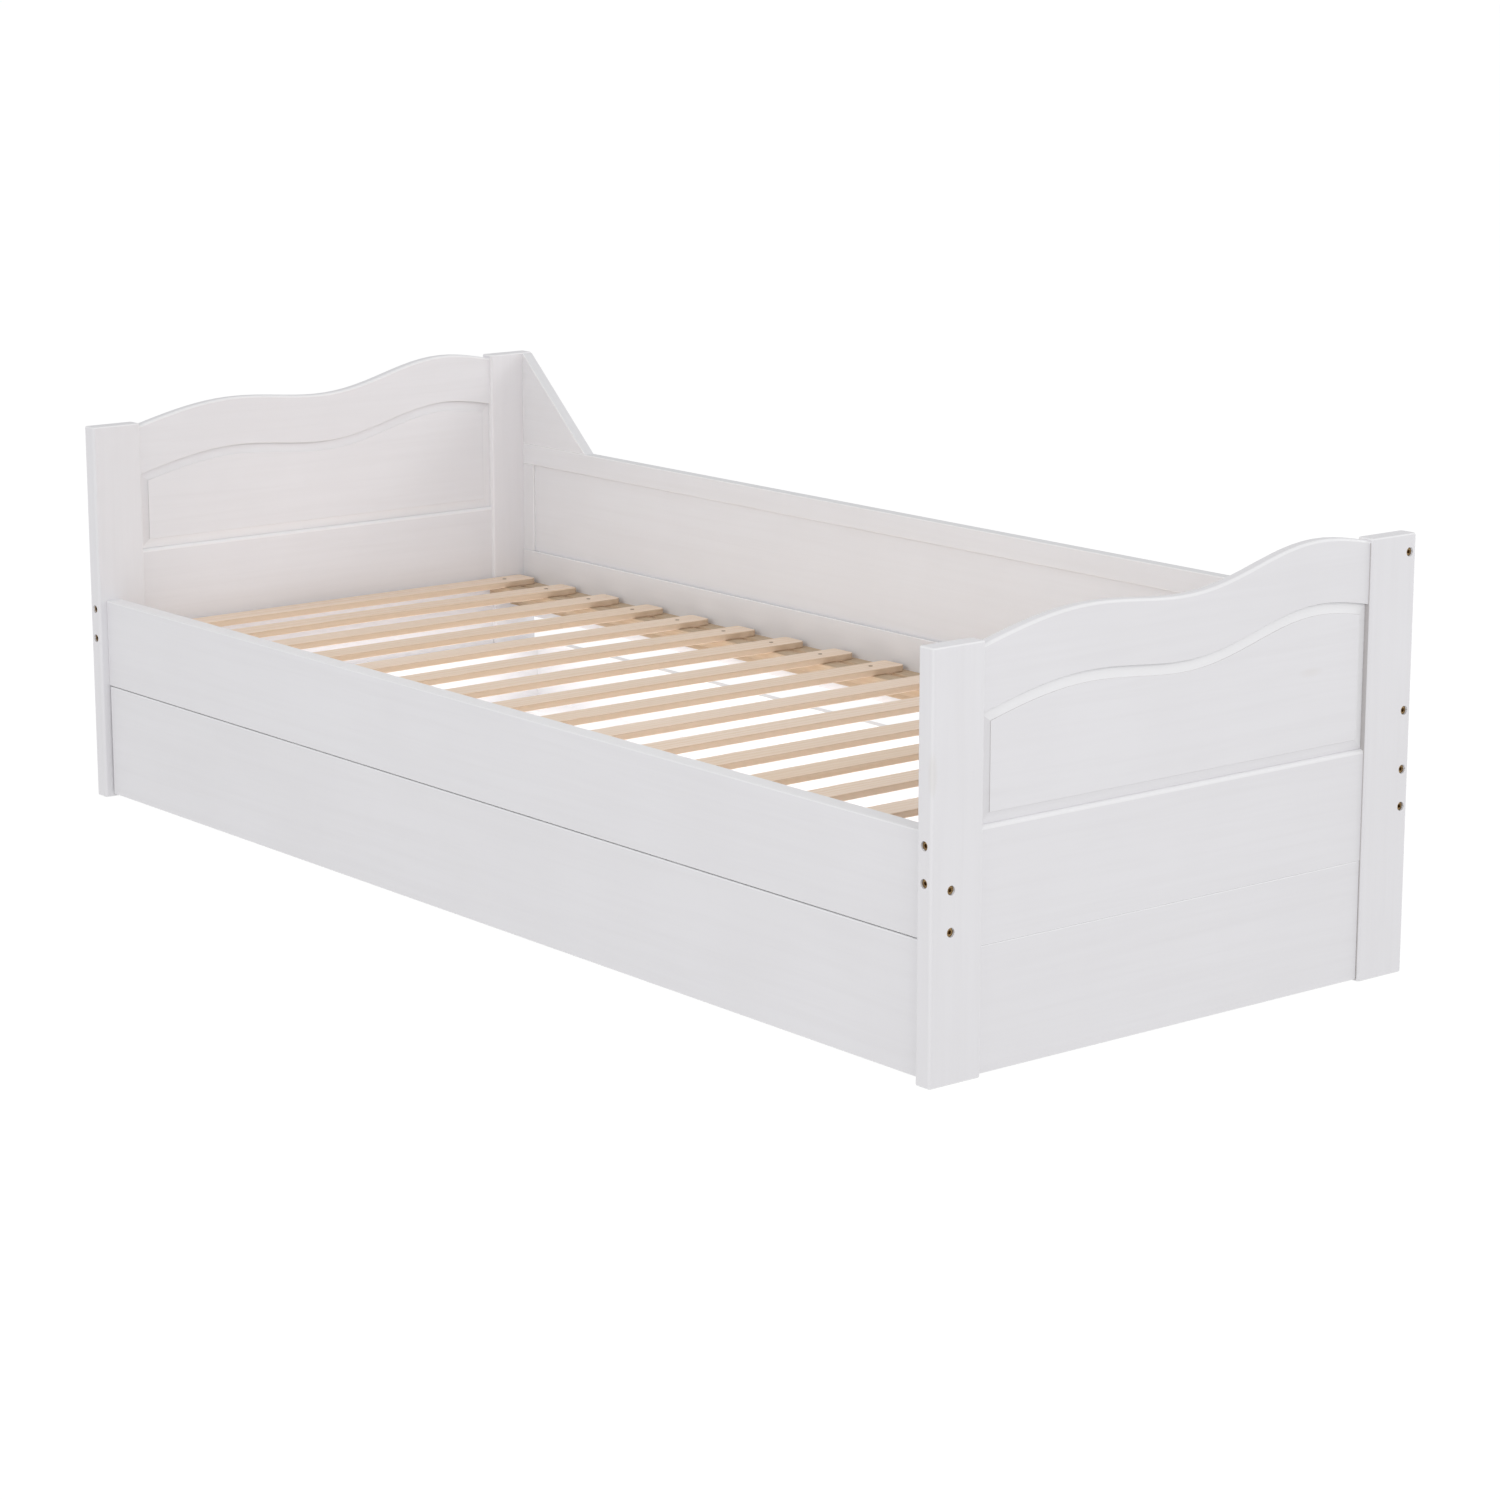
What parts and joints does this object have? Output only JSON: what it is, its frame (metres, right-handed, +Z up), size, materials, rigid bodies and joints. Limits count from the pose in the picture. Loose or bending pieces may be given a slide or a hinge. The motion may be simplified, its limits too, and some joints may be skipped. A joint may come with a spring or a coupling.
{
  "type": "trundle bed",
  "caption": "Low white-lacquered pine bed with S-curved panelled ends, a back board on one long side, natural slats and a pull-out trundle on wheels.",
  "frame": {"origin": "on the floor, under the middle of the bed", "axes": "+X from the headboard to the foot, -Y out of the trundle side, +Z up"},
  "size_m": [2.06, 0.866, 0.6703],
  "materials": {
    "white_lacquer": "satin white lacquer over pine, faint grain",
    "pine": "planed, unvarnished",
    "bronze": "antique bronze plating",
    "zinc_steel": "bright zinc plating",
    "nylon": "matte nylon"
  },
  "bodies": {
    "bed": {"head_front_post": "white_lacquer", "head_back_post": "white_lacquer", "head_top_rail": "white_lacquer", "head_raised_panel": "white_lacquer", "head_upper_board": "white_lacquer", "head_lower_board": "white_lacquer", "foot_front_post": "white_lacquer", "foot_back_post": "white_lacquer", "foot_top_rail": "white_lacquer", "foot_raised_panel": "white_lacquer", "foot_upper_board": "white_lacquer", "foot_lower_board": "white_lacquer", "front_rail": "white_lacquer", "back_rail": "white_lacquer", "front_ledger": "pine", "back_ledger": "pine", "back_panel_top_rail": "white_lacquer", "back_panel_head_stile": "white_lacquer", "back_panel_foot_stile": "white_lacquer", "back_panel_inset": "white_lacquer", "head_wing": "white_lacquer", "foot_wing": "white_lacquer", "slat_bearer_front": "pine", "slat_bearer_back": "pine", "slat_01": "pine", "slat_02": "pine", "slat_03": "pine", "slat_04": "pine", "slat_05": "pine", "slat_06": "pine", "slat_07": "pine", "slat_08": "pine", "slat_09": "pine", "slat_10": "pine", "slat_11": "pine", "slat_12": "pine", "slat_13": "pine", "slat_14": "pine", "slat_15": "pine", "slat_16": "pine", "slat_17": "pine", "frame_bolts": "bronze", "insert_nuts": "zinc_steel", "slat_screws": "bronze"},
    "trundle": {"trundle_front": "white_lacquer", "trundle_back_rail": "white_lacquer", "trundle_head_rail": "white_lacquer", "trundle_foot_rail": "white_lacquer", "trundle_base": "white_lacquer", "trundle_centre_bearer": "pine", "trundle_screws": "zinc_steel", "wheel_axles": "zinc_steel", "wheel_bracket_1": "zinc_steel", "wheel_bracket_2": "zinc_steel", "wheel_bracket_3": "zinc_steel", "wheel_bracket_4": "zinc_steel"},
    "wheel_body_1": {"wheel_1": "nylon"},
    "wheel_body_2": {"wheel_2": "nylon"},
    "wheel_body_3": {"wheel_3": "nylon"},
    "wheel_body_4": {"wheel_4": "nylon"}
  },
  "joints": [
    {"name": "trundle_slide", "type": "slide", "parent": "bed", "child": "trundle", "axis": [0, -1, 0], "range_m": [0, 0.85]},
    {"name": "wheel_1_roll", "type": "hinge", "parent": "trundle", "child": "wheel_body_1", "pos_m": [-0.88, -0.33, 0.022], "axis": [1, 0, 0], "continuous": true},
    {"name": "wheel_2_roll", "type": "hinge", "parent": "trundle", "child": "wheel_body_2", "pos_m": [0.88, -0.33, 0.022], "axis": [1, 0, 0], "continuous": true},
    {"name": "wheel_3_roll", "type": "hinge", "parent": "trundle", "child": "wheel_body_3", "pos_m": [-0.88, 0.34, 0.022], "axis": [1, 0, 0], "continuous": true},
    {"name": "wheel_4_roll", "type": "hinge", "parent": "trundle", "child": "wheel_body_4", "pos_m": [0.88, 0.34, 0.022], "axis": [1, 0, 0], "continuous": true}
  ],
  "couplings": [
    {"joint": "wheel_1_roll", "follows": "trundle_slide", "rad_per_m": 45.455},
    {"joint": "wheel_2_roll", "follows": "trundle_slide", "rad_per_m": 45.455},
    {"joint": "wheel_3_roll", "follows": "trundle_slide", "rad_per_m": 45.455},
    {"joint": "wheel_4_roll", "follows": "trundle_slide", "rad_per_m": 45.455}
  ]
}
